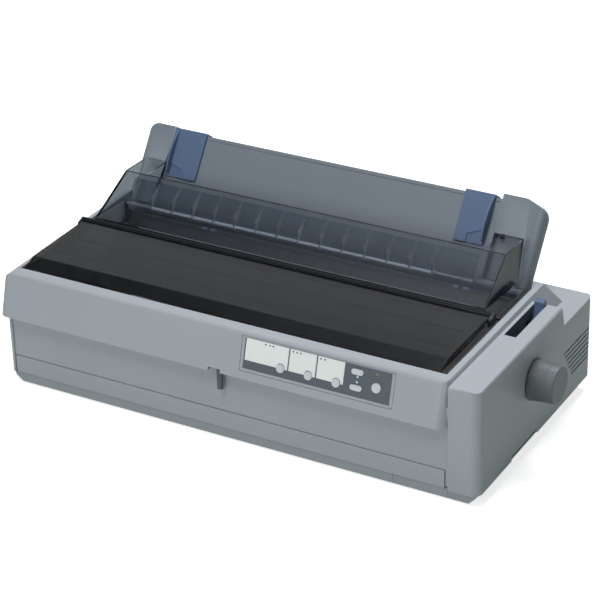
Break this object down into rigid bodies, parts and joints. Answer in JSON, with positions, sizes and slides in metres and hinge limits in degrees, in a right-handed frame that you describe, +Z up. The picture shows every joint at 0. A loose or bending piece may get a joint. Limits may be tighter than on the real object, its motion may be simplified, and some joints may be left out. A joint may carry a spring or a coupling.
{
  "type": "dot matrix printer",
  "caption": "Wide-carriage dot matrix printer with smoked cover, clear tear-off cover, raised sheet guide with sliding edge guides, push tractor and platen knob.",
  "frame": {"origin": "on the table under the middle of the bounding box", "axes": "+X along the printer towards the knob, +Y to the rear, +Z up"},
  "size_m": [0.631, 0.318, 0.2217],
  "materials": {
    "case_grey": "fine-grained cool grey moulded plastic",
    "panel_slate": "slate grey printed overlay",
    "label_white": "white window",
    "lamp_lens": "small tinted lens",
    "button_grey": "pale grey button",
    "smoked_cover": "dark smoked translucent plastic",
    "clear_smoke": "bluish smoked translucent plastic",
    "guide_grey": "mid grey moulded plastic",
    "blue_plastic": "slate blue moulded plastic",
    "black_plastic": "black moulded plastic",
    "rubber_black": "black rubber",
    "knob_grey": "dark grey moulded plastic",
    "bright_steel": "plated steel",
    "motor_black": "black painted steel",
    "head_alloy": "cast alloy",
    "circuit_board": "green board"
  },
  "bodies": {
    "root": {"lower_case": "case_grey", "upper_case": "case_grey", "rubber_feet": "rubber_black", "case_screws": "bright_steel", "control_panel_bezel": "case_grey", "control_panel_overlay": "panel_slate", "label_windows": "label_white", "indicator_lamps": "lamp_lens", "seal_strips": "black_plastic", "hinge_ears": "black_plastic", "base_chassis": "bright_steel", "left_side_frame": "bright_steel", "right_side_frame": "bright_steel", "shaft_bushings": "black_plastic", "feed_motor": "motor_black", "rear_paper_guide": "black_plastic", "guide_shaft": "bright_steel", "front_rail": "bright_steel", "ribbon_cartridge": "black_plastic", "carriage_motor": "motor_black", "timing_belt": "rubber_black", "tractor_rod": "bright_steel", "main_board": "circuit_board", "interface_ports": "bright_steel", "power_supply": "circuit_board", "mains_inlet": "black_plastic"},
    "bottom_front_cover": {"bottom_front_cover": "case_grey"},
    "front_lever": {"front_lever": "panel_slate"},
    "printer_cover": {"printer_cover": "smoked_cover"},
    "tear_off_cover": {"tear_off_cover": "clear_smoke"},
    "sheet_guide": {"sheet_guide": "guide_grey"},
    "left_edge_guide": {"left_edge_guide": "blue_plastic"},
    "right_edge_guide": {"right_edge_guide": "blue_plastic"},
    "paper_release_lever": {"paper_release_lever": "blue_plastic"},
    "platen": {"platen_roller": "rubber_black", "platen_shaft": "bright_steel", "platen_gear": "guide_grey", "platen_knob": "knob_grey"},
    "feed_pinion": {"feed_pinion": "bright_steel"},
    "front_idler": {"front_idler_gear": "guide_grey"},
    "rear_idler": {"rear_idler_gear": "guide_grey"},
    "tractor_drive": {"tractor_shaft": "bright_steel", "tractor_gear": "guide_grey"},
    "print_carriage": {"carriage": "black_plastic", "print_head": "head_alloy"},
    "drive_pulley": {"drive_pulley": "bright_steel"},
    "idler_pulley": {"idler_pulley": "bright_steel"},
    "left_tractor": {"left_tractor": "case_grey"},
    "right_tractor": {"right_tractor": "case_grey"},
    "left_sprocket": {"left_sprocket": "blue_plastic"},
    "right_sprocket": {"right_sprocket": "blue_plastic"},
    "left_tractor_lid": {"left_tractor_lid": "blue_plastic"},
    "right_tractor_lid": {"right_tractor_lid": "blue_plastic"},
    "power_switch": {"power_switch": "black_plastic"},
    "font_button": {"font_button": "button_grey"},
    "pitch_button": {"pitch_button": "button_grey"},
    "tear_off_button": {"tear_off_button": "button_grey"},
    "load_button": {"load_button": "button_grey"},
    "feed_button": {"feed_button": "button_grey"},
    "pause_button": {"pause_button": "button_grey"}
  },
  "joints": [
    {"name": "printer_cover_hinge", "type": "hinge", "parent": "root", "child": "printer_cover", "pos_m": [-0.0325, -0.01102, 0.15], "axis": [-1, 0, 0], "range_deg": [0, 78]},
    {"name": "tear_off_cover_hinge", "type": "hinge", "parent": "root", "child": "tear_off_cover", "pos_m": [-0.0325, -0.00402, 0.1525], "axis": [1, 0, 0], "range_deg": [0, 70]},
    {"name": "sheet_guide_hinge", "type": "hinge", "parent": "root", "child": "sheet_guide", "pos_m": [-0.0315, 0.09098, 0.132], "axis": [-1, 0, 0], "range_deg": [0, 48]},
    {"name": "left_edge_slide", "type": "slide", "parent": "sheet_guide", "child": "left_edge_guide", "axis": [1, 0, 0], "range_m": [0, 0.12]},
    {"name": "right_edge_slide", "type": "slide", "parent": "sheet_guide", "child": "right_edge_guide", "axis": [1, 0, 0], "range_m": [-0.22, 0]},
    {"name": "paper_release", "type": "hinge", "parent": "root", "child": "paper_release_lever", "pos_m": [0.2595, 0.02798, 0.075], "axis": [1, 0, 0], "range_deg": [0, 54]},
    {"name": "platen_spin", "type": "hinge", "parent": "root", "child": "platen", "pos_m": [-0.0155, -0.00952, 0.09], "axis": [1, 0, 0], "continuous": true},
    {"name": "feed_pinion_spin", "type": "hinge", "parent": "root", "child": "feed_pinion", "pos_m": [-0.2905, 0.00798, 0.05969], "axis": [1, 0, 0], "continuous": true},
    {"name": "front_idler_spin", "type": "hinge", "parent": "root", "child": "front_idler", "pos_m": [-0.2905, 0.03748, 0.09], "axis": [1, 0, 0], "continuous": true},
    {"name": "rear_idler_spin", "type": "hinge", "parent": "root", "child": "rear_idler", "pos_m": [-0.2905, 0.07548, 0.09], "axis": [1, 0, 0], "continuous": true},
    {"name": "tractor_drive_spin", "type": "hinge", "parent": "root", "child": "tractor_drive", "pos_m": [-0.0355, 0.11448, 0.09], "axis": [1, 0, 0], "continuous": true},
    {"name": "left_tractor_slide", "type": "slide", "parent": "root", "child": "left_tractor", "axis": [1, 0, 0], "range_m": [-0.05, 0.1]},
    {"name": "right_tractor_slide", "type": "slide", "parent": "root", "child": "right_tractor", "axis": [1, 0, 0], "range_m": [-0.2, 0.04]},
    {"name": "left_sprocket_spin", "type": "hinge", "parent": "left_tractor", "child": "left_sprocket", "pos_m": [-0.1985, 0.11448, 0.09], "axis": [1, 0, 0], "continuous": true},
    {"name": "right_sprocket_spin", "type": "hinge", "parent": "right_tractor", "child": "right_sprocket", "pos_m": [0.1375, 0.11448, 0.09], "axis": [1, 0, 0], "continuous": true},
    {"name": "left_tractor_lid_hinge", "type": "hinge", "parent": "left_tractor", "child": "left_tractor_lid", "pos_m": [-0.2067, 0.11448, 0.1063], "axis": [0, -1, 0], "range_deg": [0, 110]},
    {"name": "right_tractor_lid_hinge", "type": "hinge", "parent": "right_tractor", "child": "right_tractor_lid", "pos_m": [0.1457, 0.11448, 0.1063], "axis": [0, 1, 0], "range_deg": [0, 110]},
    {"name": "carriage_slide", "type": "slide", "parent": "root", "child": "print_carriage", "axis": [1, 0, 0], "range_m": [0, 0.34]},
    {"name": "drive_pulley_spin", "type": "hinge", "parent": "root", "child": "drive_pulley", "pos_m": [0.1965, -0.08502, 0.057], "axis": [0, 0, 1], "range_deg": [-2040, 10]},
    {"name": "idler_pulley_spin", "type": "hinge", "parent": "root", "child": "idler_pulley", "pos_m": [-0.2675, -0.08502, 0.057], "axis": [0, 0, 1], "range_deg": [-2040, 10]},
    {"name": "bottom_front_cover_hinge", "type": "hinge", "parent": "root", "child": "bottom_front_cover", "pos_m": [-0.0295, -0.14482, 0.0188], "axis": [1, 0, 0], "range_deg": [0, 90]},
    {"name": "front_lever_slide", "type": "slide", "parent": "root", "child": "front_lever", "axis": [1, 0, 0], "range_m": [-0.006, 0]},
    {"name": "power_switch_rock", "type": "hinge", "parent": "root", "child": "power_switch", "pos_m": [-0.2005, 0.14698, 0.036], "axis": [1, 0, 0], "range_deg": [0, 16]},
    {"name": "font_press", "type": "slide", "parent": "root", "child": "font_button", "axis": [0, 0.9583, -0.2857], "range_m": [0, 0.0012], "stiffness_N_per_m": 250, "springref_m": -0.001},
    {"name": "pitch_press", "type": "slide", "parent": "root", "child": "pitch_button", "axis": [0, 0.9583, -0.2857], "range_m": [0, 0.0012], "stiffness_N_per_m": 250, "springref_m": -0.001},
    {"name": "tear_off_press", "type": "slide", "parent": "root", "child": "tear_off_button", "axis": [0, 0.9583, -0.2857], "range_m": [0, 0.0012], "stiffness_N_per_m": 250, "springref_m": -0.001},
    {"name": "load_press", "type": "slide", "parent": "root", "child": "load_button", "axis": [0, 0.9583, -0.2857], "range_m": [0, 0.0012], "stiffness_N_per_m": 250, "springref_m": -0.001},
    {"name": "feed_press", "type": "slide", "parent": "root", "child": "feed_button", "axis": [0, 0.9583, -0.2857], "range_m": [0, 0.0012], "stiffness_N_per_m": 250, "springref_m": -0.001},
    {"name": "pause_press", "type": "slide", "parent": "root", "child": "pause_button", "axis": [0, 0.9583, -0.2857], "range_m": [0, 0.0012], "stiffness_N_per_m": 250, "springref_m": -0.001}
  ],
  "couplings": [
    {"joint": "feed_pinion_spin", "follows": "platen_spin", "ratio": -4},
    {"joint": "front_idler_spin", "follows": "platen_spin", "ratio": -1.4737},
    {"joint": "rear_idler_spin", "follows": "platen_spin", "ratio": 1.4737},
    {"joint": "tractor_drive_spin", "follows": "platen_spin", "ratio": -1.4},
    {"joint": "left_sprocket_spin", "follows": "platen_spin", "ratio": -1.4},
    {"joint": "right_sprocket_spin", "follows": "platen_spin", "ratio": -1.4},
    {"joint": "drive_pulley_spin", "follows": "carriage_slide", "rad_per_m": -104.17},
    {"joint": "idler_pulley_spin", "follows": "carriage_slide", "rad_per_m": -104.17}
  ]
}
